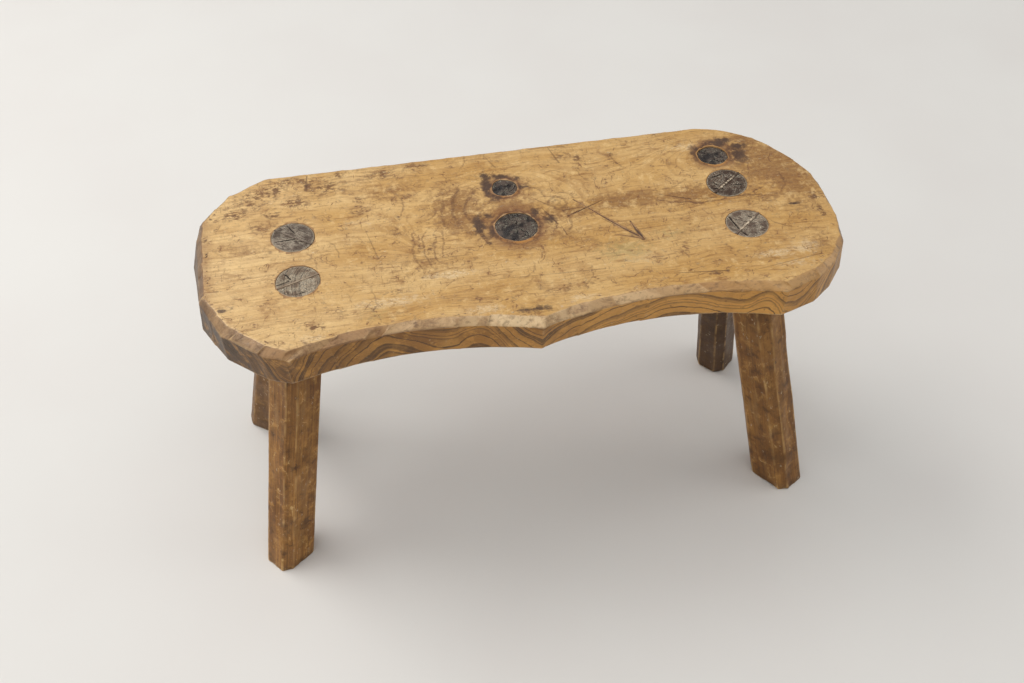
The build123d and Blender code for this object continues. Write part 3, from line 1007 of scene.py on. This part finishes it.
def stains_and_scuffs(g, w, top):
    top = g.mix(stain(g, w, "cloud") * g.span(w.speck, 0.3, 0.62, 0.5, 0.85), top, (138, 96, 54))
    top = g.mix(stain(g, w, "green") * 0.5, top, (158, 144, 96))
    w.rubs = stain(g, w, "rub") * g.span(w.fine_speck, 0.35, 0.6)
    top = g.mix(w.rubs * 0.6, top, (232, 208, 168))
    w.scuffs = stain(g, w, "scuff") * g.span(w.speck, 0.42, 0.54)
    loose = g.span(w.speck, 0.60, 0.70) * g.span(w.patch, 0.42, 0.66)
    top = g.mix(g.larger(w.scuffs, loose * 0.75) * 0.88, top, (104, 68, 40))
    top = g.mix(w.fibres["Pore"] * g.span(w.patch, 0.35, 0.65, 0.2, 0.75), top, (126, 82, 44))
    w.dash = g.noise(w.place, roughness=0.6, stretch=(0.8, 0.075, 0.5))
    w.dash = g.span(w.dash, 0.665, 0.72) * g.span(w.broad, 0.4, 0.6)
    top = g.mix(w.dash * 0.55, top, (120, 80, 48))
    scratch = g.noise(w.place, distortion=0.6, stretch=(0.05, 0.32, 0.3))
    scratch = lines_from(g, scratch, 0.009) * g.span(w.speck, 0.5, 0.6)
    top = g.mix(scratch * 0.5, top, (238, 220, 186))
    top = g.mix(g.span(w.mottle, 0.46, 0.30, 0.0, 0.55), top, (236, 200, 140))
    top = g.mix(g.span(w.mottle, 0.52, 0.72, 0.0, 0.62), top, (146, 102, 60))
    grain = g.noise(w.bent, detail=3.0, roughness=0.7, stretch=(0.035, 0.34, 0.34))
    top = g.mix(g.span(grain, 0.55, 0.68, 0.0, 0.5), top, (134, 90, 50))
    hair = g.noise(w.place, scale=0.05, distortion=1.2)
    w.hair = lines_from(g, hair, 0.011) * g.span(w.mottle, 0.46, 0.56)
    top = g.mix(w.hair * 0.65, top, (116, 74, 48))
    pit = g.cells(w.place + w.drift.scaled(16.0), 0.13, (0.8, 1.4, 1.0))
    w.pit = g.span(pit, 0.22, 0.10) * g.span(w.mottle, 0.48, 0.60)
    return g.mix(w.pit * 0.6, top, (108, 70, 46))


def cuts_and_arcs(g, w, top):
    """The curved lines round the knots, the carved arrow and the straight knife cuts."""
    crook = g.noise(w.place, scale=0.05, detail=3.0, output="Color") - (0.5, 0.5, 0.5)
    crooked = w.flat + crook * (15.0, 15.0, 0.0)
    arcs = []
    for cx, cy, radius, width, x, y, rx, ry, strength in ARCS:
        line = g.group(ARC, Place=crooked, Middle=(cx, cy, 0), Radius=radius, Width=width)["Mask"]
        middle, reach = (x, y, SITTING_FACE / MM), (rx, ry, DEEP)
        window = g.group(SPOT, Place=w.place, Middle=middle, Reach=reach, Rag=w.rag, Ragged=0.5)["Mask"]
        arcs.append(line * (window * strength))
    arcs = reduce(g.larger, arcs) * g.span(w.fine_speck, 0.36, 0.56, 0.25, 1.0)
    top = g.mix(arcs * 0.9, top, (98, 64, 44))
    strokes = [
        g.group(CUT, Place=w.flat, Start=(x0, y0, 0), End=(x1, y1, 0), Width=width)["Mask"] * strength
        for x0, y0, x1, y1, width, strength in STROKES
    ]
    return g.mix(reduce(g.larger, strokes) * g.span(w.fine_speck, 0.3, 0.5, 0.75, 1.0), top, (78, 48, 34))


def knot_stains(g, w, top):
    """A brown halo, a dark rim and a reddish glow round each knot, then the solid dark spots."""
    for name in KNOT_SHAPE:
        middle, radius = ring_at(name, SITTING_FACE)
        x, y, radius = middle.x / MM, middle.y / MM, radius / MM
        away = g.vector("DISTANCE", w.flat, (x, y, 0)) - 0.7 + w.rag * 2.2
        top = g.mix(g.span(away, radius * 1.9, radius * 1.05) * 0.66, top, (128, 84, 54))
        rim = g.span(away, radius + 5.5, radius + 1.0) * g.span(w.mottle, 0.4, 0.6, 0.45, 1.0)
        top = g.mix(rim * 0.85, top, (82, 52, 38))
        glow = g.span(away, radius + 3.0, radius + 0.6) * g.span(w.y, y - 2.0, y - radius)
        top = g.mix(glow * g.span(w.mottle, 0.62, 0.42, 0.2, 0.75), top, (190, 132, 66))
    return g.mix(stain(g, w, "dark") * g.span(w.fine_speck, 0.25, 0.5, 0.6, 1.0), top, (84, 62, 48))


def board_sides(g, w):
    """Darker polish, and every ring shows. Painted shade darkens the sides towards the left and the right
    end, and painted light makes them paler towards the right.
    """
    cloud = g.noise(w.place, scale=0.02, detail=3.0)
    low = g.mix(g.span(cloud, 0.35, 0.65), (158, 108, 44), (214, 160, 86))
    # painted shade: darker and greyer towards the left
    low = g.mix(g.span(w.x, -40, -240, 0.1, 0.85), low, (154, 144, 128), blend="MULTIPLY")
    # painted light: paler from the middle towards the right
    low = g.mix(g.span(w.x, -10, 60, 0.0, 0.45), low, (240, 180, 98))
    # darker end grain, and painted shade towards the right end
    low = g.mix(g.larger(w.end * 0.75, g.span(w.x, 212, 290, 0.0, 0.45)), low, (84, 64, 46))
    low = g.mix(w.rings["Tint"] * 0.45, low, (220, 160, 82))
    low = g.mix(g.span(w.mottle, 0.50, 0.34, 0.0, 0.5), low, (226, 168, 88))
    low = g.mix(w.rings["Line"] * g.span(w.mottle, 0.30, 0.60, 0.72, 1.0), low, (50, 27, 9))
    low = g.mix(w.fibres["Streak"] * 0.2, low, (98, 60, 24))
    low = g.mix(g.span(w.speck, 0.58, 0.70) * 0.5, low, (74, 46, 24))
    # darker towards the left end of the sides and bevel
    w.soot = g.span(w.x, -225, -280) * g.span(w.mottle, 0.35, 0.6, 0.35, 0.85)
    low = g.mix(w.soot, low, (62, 46, 32))
    underneath = g.span(w.z, (UNDERSIDE + 3 * MM) / MM, UNDERSIDE / MM)
    low = g.mix(underneath * 0.35, low, (62, 42, 26))
    return g.mix(1.0, low, SEAT_VARNISH, blend="MULTIPLY")


def bevel_cuts(g, w):
    """Each knife cut has its own tone."""
    bevel = g.mix(g.span(w.cut, 0.15, 1.0), (168, 124, 80), (224, 188, 142))
    bevel = g.mix(g.span(w.x, -70, -200, 0.0, 0.5), bevel, (150, 108, 72))
    bevel = g.mix(g.span(w.mottle, 0.5, 0.7, 0.0, 0.6), bevel, (132, 96, 66))
    bevel = g.mix(w.rings["Line"] * 0.3, bevel, (112, 74, 42))
    bevel = g.mix(g.span(w.x, 70, 200, 0.0, 0.72), bevel, (192, 144, 84))
    bevel = g.mix(w.end * 0.9, bevel, (84, 64, 48))
    bevel = g.mix(w.soot * 0.8, bevel, (78, 58, 42))
    point = g.group(SWELL, Place=w.place, Middle=(-30, -112, 326), Reach=(60, 40, 400), Height=0.85)["Swell"]
    bevel = g.mix(point * g.span(w.mottle, 0.60, 0.44, 0.4, 1.0), bevel, (236, 208, 164))
    return g.mix(g.span(w.speck, 0.5, 0.66) * 0.5, bevel, (98, 74, 56))


def seat_wood():
    material, g, shader, place = new_material("seat wood")
    w = seat_patterns(g, place)
    top = stains_and_scuffs(g, w, sitting_face(g, w))
    top = knot_stains(g, w, cuts_and_arcs(g, w, top))
    colour = g.mix(w.side, top, board_sides(g, w))
    colour = g.mix(g.span(w.cut, 0.02, 0.14, 0.0, 0.85), colour, bevel_cuts(g, w))
    # worn wood and painted highlight: paler on the ridges
    colour = g.mix(w.wear["Rubbed"] * 0.55, colour, (216, 180, 128))
    # darker in the hollows of the mesh
    colour = g.mix(w.wear["Dirt"] * 0.75, colour, (58, 38, 26))
    colour = g.mix(w.wear["Nick"] * g.span(w.side, 0.0, 1.0, 0.15, 0.5), colour, (206, 176, 132))
    smear = w.wear["Smear"]
    dull = g.span(smear, 0.3, 0.7, 0.36, 0.54) + w.side * 0.10 + g.larger(w.rubs, w.scuffs) * 0.18
    dents = g.noise(place, scale=0.085, detail=3.0, roughness=0.6)
    height = dents * 0.9 + w.fibres["Height"] * 0.22 - w.rings["Line"] * 0.12
    height = height - g.larger(w.pit, g.larger(w.hair, w.dash)) * 0.4 + w.mottle * 0.9
    g.feed(shader["Coat Weight"], g.span(smear, 0.35, 0.65, 0.04, 0.30))
    finish(g, shader, colour, dull, height, 0.9, 0.75, Specular_IOR_Level=0.42, Coat_Roughness=0.28)
    return material


def along_leg(g, place, foot, axis):
    """The place on a leg from its foot, turned so that X runs up the leg, as its grain does."""
    turn = axis.to_track_quat("X", "Z").to_euler()
    inputs = {"Vector": place, "Location": foot / MM, "Rotation": turn}
    return g.add("ShaderNodeMapping", inputs, vector_type="TEXTURE")


def leg_rings(g, along, seed, spacing):
    """Growth rings round a pith that lies outside the leg."""
    pith = (0.0, 44.0 + 3 * seed, 30.0 - 6 * seed)
    return g.group(RINGS, Place=along + pith, Spacing=spacing, Waver=5.0, Swell=0.0)


LEG_PAINTED_SHADE = {  # painted shade: how far each leg is darkened for the shade it stands in
    "leg_front_left": 0.04, "leg_front_right": 0.14, "leg_rear_left": 0.46, "leg_rear_right": 0.76,
}


def leg_wood(name, foot, axis, seed):
    """Darker wood with its grain along the leg, scuffed and scratched."""
    material, g, shader, place = new_material(name.replace("_", " ") + " wood")
    along = along_leg(g, place, foot, axis) + (seed * 37.0, 0.0, 0.0)
    rings = leg_rings(g, along, seed, 3.6)
    fibres = g.group(FIBRES, Place=along)
    wear = g.group(WEAR_AND_EDGE_LIGHT, Place=place, Ridge=g.attribute("ridge"))
    mottle = wear["Mottle"]
    broad = g.noise(along, detail=3.0, stretch=(0.012, 0.05, 0.05))
    colour = g.mix(g.span(broad, 0.35, 0.65), (132, 86, 36), (184, 132, 72))
    colour = g.mix(rings["Line"] * 0.6, colour, (84, 50, 18))
    colour = g.mix(rings["Tint"] * 0.35, colour, (186, 130, 66))
    colour = g.mix(fibres["Streak"] * 0.42, colour, (90, 56, 24))
    colour = g.mix(fibres["Pore"] * 0.5, colour, (62, 38, 16))
    colour = g.mix(g.span(mottle, 0.51, 0.68, 0.0, 0.75), colour, (82, 52, 24))
    colour = g.mix(g.span(mottle, 0.48, 0.31, 0.0, 0.65), colour, (206, 154, 90))
    hair = g.noise(place + (seed * 90.0, 0.0, 0.0), detail=1.0, distortion=0.5, stretch=(0.09, 0.09, 0.045))
    hair = lines_from(g, hair, 0.010) * g.span(mottle, 0.50, 0.40)
    colour = g.mix(hair * 0.7, colour, (230, 196, 146))
    gouge = g.noise(place + (0.0, seed * 70.0, 0.0), scale=0.045, distortion=1.4)
    gouge = lines_from(g, gouge, 0.010) * g.span(mottle, 0.5, 0.6)
    colour = g.mix(gouge * 0.7, colour, (64, 38, 20))
    smudge = g.noise(place, scale=0.03, detail=4.0, roughness=0.65)
    colour = g.mix(g.span(smudge, 0.50, 0.74, 0.0, 0.4), colour, (112, 84, 54))
    grey = g.noise(along, detail=4.0, stretch=(0.02, 0.09, 0.09))
    colour = g.mix(g.span(grey, 0.54, 0.70, 0.0, 0.4), colour, (164, 128, 88))
    _, _, height_above_floor = g.split(place)
    colour = g.mix(g.span(height_above_floor, 12.0, 0.0, 0.0, 0.55), colour, (74, 52, 32))
    # painted shade: each leg is darkened by its own share of shade from the table above
    colour = g.mix(g.span(broad, 0.0, 1.0, LEG_PAINTED_SHADE[name], LEG_PAINTED_SHADE[name] + 0.1), colour, (58, 36, 12))
    # worn wood and painted highlight: paler on the ridges
    colour = g.mix(wear["Rubbed"] * 0.65, colour, (214, 174, 124))
    # darker in the hollows of the mesh
    colour = g.mix(wear["Dirt"] * 0.7, colour, (52, 32, 16))
    colour = g.mix(1.0, colour, LEG_VARNISH, blend="MULTIPLY")
    broken = g.noise(place, scale=0.5, distortion=2.0)
    fleck = g.span(g.cells(place, 0.11, (1.3, 1.3, 0.8)), 0.24, 0.08) * g.span(broken, 0.52, 0.62)
    colour = g.mix(fleck * 0.9, colour, (222, 198, 160))
    dents = g.noise(along, detail=3.0, stretch=(0.03, 0.10, 0.10))
    height = dents * 0.8 + fibres["Height"] * 0.30 - g.larger(fleck, gouge) * 0.4 + mottle * 0.8
    dull = g.span(wear["Smear"], 0.3, 0.7, 0.42, 0.60)
    finish(g, shader, colour, dull, height, 1.0, 0.8, Specular_IOR_Level=0.40)
    return material


END_TONES = {  # darker and lighter wood of each sawn end
    "leg_front_left": ((136, 116, 96), (196, 178, 152)),
    "leg_front_right": ((112, 94, 80), (176, 158, 136)),
    "leg_rear_left": ((104, 90, 78), (168, 152, 134)),
    "leg_rear_right": ((78, 60, 48), (114, 94, 78)),
}


def end_grain(name, foot, axis, seed):
    """Weathered sawn end grain of a tenon or a foot."""
    material, g, shader, place = new_material(name.replace("_", " ") + " end grain")
    along = along_leg(g, place, foot, axis)
    ridge = g.attribute("ridge")
    rings = leg_rings(g, along, seed, 3.4)
    speckle = g.noise(along, detail=4.0, roughness=0.75, stretch=(0.05, 0.55, 0.55))
    blotch = g.noise(along, detail=3.0, stretch=(0.02, 0.11, 0.11))
    colour = g.mix(g.span(blotch, 0.38, 0.62), *END_TONES[name])
    colour = g.mix(rings["Line"] * 0.7, colour, (58, 46, 40))
    colour = g.mix(g.span(speckle, 0.5, 0.62) * 0.7, colour, (64, 52, 44))
    flake = g.noise(along, detail=3.0, roughness=0.6, distortion=1.2, stretch=(0.05, 0.34, 0.42))
    flake = lines_from(g, flake, 0.036) * g.span(blotch, 0.40, 0.56)
    colour = g.mix(flake * 0.85, colour, (230, 218, 196))
    # painted shade: near-black in the hollows, the cracks and the gap round the end
    colour = g.mix(g.span(ridge, 0.42, 0.22), colour, (34, 26, 22))
    # painted highlight: paler on the ridges of the end
    colour = g.mix(g.span(ridge, 0.58, 0.8) * 0.5, colour, (196, 182, 158))
    dull = g.span(speckle, 0.3, 0.7, 0.62, 0.85)
    finish(g, shader, colour, dull, speckle + flake * 0.6, 1.0, 0.9, Specular_IOR_Level=0.3)
    return material


def knot_wood(name, centre, seed):
    """Near-black dead branch wood with rings of its own and pale cracks."""
    material, g, shader, place = new_material(name.replace("_", " ") + " wood")
    local = place - tuple(centre / MM)
    flat = local * (1.0, 1.0, 0.15)
    wobble = g.noise(flat, scale=0.12, detail=3.0)
    turns = g.vector("LENGTH", local * (1.0, 1.0, 0.0)) * 0.55 + wobble * 4.0
    lines = g.span(g.math("FRACT", turns), 0.6, 0.95)
    colour = g.mix(g.span(wobble, 0.38, 0.62), (42, 36, 33), (94, 80, 70))
    colour = g.mix(lines * 0.5, colour, (34, 28, 27))
    web = g.noise(flat + (seed * 13.0, 0.0, 0.0), scale=0.17, detail=3.0, roughness=0.6, distortion=1.6)
    web = lines_from(g, web, 0.026) * g.span(g.noise(flat, scale=0.09), 0.42, 0.52)
    colour = g.mix(web * 0.8, colour, (168, 162, 144))
    colour = g.mix(g.span(g.attribute("ridge"), 0.42, 0.2), colour, (20, 15, 13))
    dull = g.span(wobble, 0.3, 0.7, 0.34, 0.58)
    height = wobble * 0.8 - lines * 0.35 - web
    finish(g, shader, colour, dull, height, 0.7, 0.8, Specular_IOR_Level=0.4)
    return material


def wedge_wood(name, middle):
    """A wedge whose pale wood is hidden by dirt towards both its ends. The left ones have gone grey."""
    material, g, shader, place = new_material(name.replace("_", " ") + " wood")
    fine = g.noise(place, detail=4.0, roughness=0.7, stretch=(0.5, 0.5, 0.1))
    dark, light = (tone(*end) for end in END_TONES[name.replace("wedge", "leg")])
    grey = tuple((a + b) / 2 for a, b in zip(dark, light))
    pale = tone(222, 204, 176) if "right" in name else grey
    away = g.vector("DISTANCE", place * (1, 1, 0), (middle.x / MM, middle.y / MM, 0))
    colour = g.mix(g.span(fine, 0.40, 0.62), g.mix(g.span(away, 15.0, 9.0), dark, pale), dark)
    finish(g, shader, colour, g.span(fine, 0.3, 0.7, 0.6, 0.8), fine, 0.4, 0.7)
    return material


def floor_paint():
    material, g, shader, place = new_material("pale floor")
    cloud = g.noise(place, scale=0.004, detail=3.0)
    g.feed(shader["Base Color"], g.mix(g.span(cloud, 0.3, 0.7), (224, 221, 217), (226, 224, 220)))
    g.feed(shader["Roughness"], g.span(cloud, 0.3, 0.7, 0.75, 0.85))
    return material


# ---------------------------------------------------------------------------------------------------------
# Pieces
# ---------------------------------------------------------------------------------------------------------
for order, leg_name in enumerate(TENON_CRACKS):
    _, _, foot_centre, tenon_centre = leg_lines(leg_name)
    leg_axis = (tenon_centre - foot_centre).normalized()
    finishes = [m(leg_name, foot_centre, leg_axis, order + 1.0) for m in (leg_wood, end_grain)]
    build_leg(leg_name, 3.0 + 7.3 * order, finishes)

for order, knot_name in enumerate(KNOT_SHAPE):
    knot = knot_tube(knot_name)
    low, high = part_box(knot_name)
    plug = new_piece(knot, knot_name + "_plug", [knot_wood(knot_name, (low + high) / 2, order + 1.0)])
    smooth_between_ridges(plug, 32)
    mark_ridges(plug)
    ride_as(plug, knot_name)

build_seat([seat_wood()])

for node_name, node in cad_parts.items():
    if node_name.startswith("wedge"):
        node.data.materials.clear()
        node.data.materials.append(wedge_wood(node_name, box_middle(level_points(node_name, SITTING_FACE))))

# ---------------------------------------------------------------------------------------------------------
# Stage, light and camera
# ---------------------------------------------------------------------------------------------------------
floor_mesh = bmesh.new()
bmesh.ops.create_circle(floor_mesh, cap_ends=True, segments=96, radius=9.0)
floor = new_piece(floor_mesh, "studio_floor", [floor_paint()])


def soft_light(name, place, target, size, watts, colour):
    lamp = bpy.data.lights.new(name, "AREA")
    lamp.shape = "RECTANGLE"
    lamp.size, lamp.size_y = size
    lamp.energy = watts
    lamp.color = colour
    lamp_object = bpy.data.objects.new(name, lamp)
    bpy.context.scene.collection.objects.link(lamp_object)
    lamp_object.location = place
    lamp_object.rotation_euler = (Vector(target) - Vector(place)).to_track_quat("-Z", "Y").to_euler()


soft_light("window_light", (-1.5, 1.0, 2.3), (0, 0, 0.2), (1.8, 1.4), 36.0, (1.0, 0.985, 0.96))
soft_light("left_light", (-2.3, -0.5, 1.0), (0, 0, 0.15), (1.4, 1.4), 10.0, (1.0, 0.98, 0.95))
soft_light("right_light", (2.3, -0.3, 1.1), (0, 0, 0.15), (1.4, 1.4), 10.0, (1.0, 0.98, 0.95))

ceiling = bpy.data.lights.new("ceiling_light", "SUN")
ceiling.energy = 1.15
ceiling.angle = math.radians(75)
ceiling.color = (1.0, 0.98, 0.95)
ceiling_object = bpy.data.objects.new("ceiling_light", ceiling)
bpy.context.scene.collection.objects.link(ceiling_object)
ceiling_object.rotation_euler = (math.radians(8), math.radians(-6), 0.0)

world = bpy.data.worlds.new("studio")
world.use_nodes = True
world.node_tree.nodes["Background"].inputs["Color"].default_value = (0.95, 0.97, 1.0, 1.0)
world.node_tree.nodes["Background"].inputs["Strength"].default_value = 0.26
bpy.context.scene.world = world
bpy.context.scene.view_settings.view_transform = "Standard"

CAMERA_PLACE = Vector((-0.1878, -0.8441, 1.0953))
CAMERA_DOWN, CAMERA_TURN, CAMERA_ROLL = math.radians(46.80), math.radians(11.70), math.radians(0.58)
forward = Vector((
    math.sin(CAMERA_TURN) * math.cos(CAMERA_DOWN),
    math.cos(CAMERA_TURN) * math.cos(CAMERA_DOWN),
    -math.sin(CAMERA_DOWN),
))
level_right = Vector((math.cos(CAMERA_TURN), -math.sin(CAMERA_TURN), 0.0))
level_up = level_right.cross(forward)
right = level_right * math.cos(CAMERA_ROLL) + level_up * math.sin(CAMERA_ROLL)
up = level_up * math.cos(CAMERA_ROLL) - level_right * math.sin(CAMERA_ROLL)
lens = bpy.data.cameras.new("camera")
lens.sensor_width = 36.0
lens.lens = 42.83
camera = bpy.data.objects.new("camera", lens)
bpy.context.scene.collection.objects.link(camera)
camera.matrix_world = Matrix.Translation(CAMERA_PLACE) @ Matrix((right, up, -forward)).transposed().to_4x4()
bpy.context.scene.camera = camera
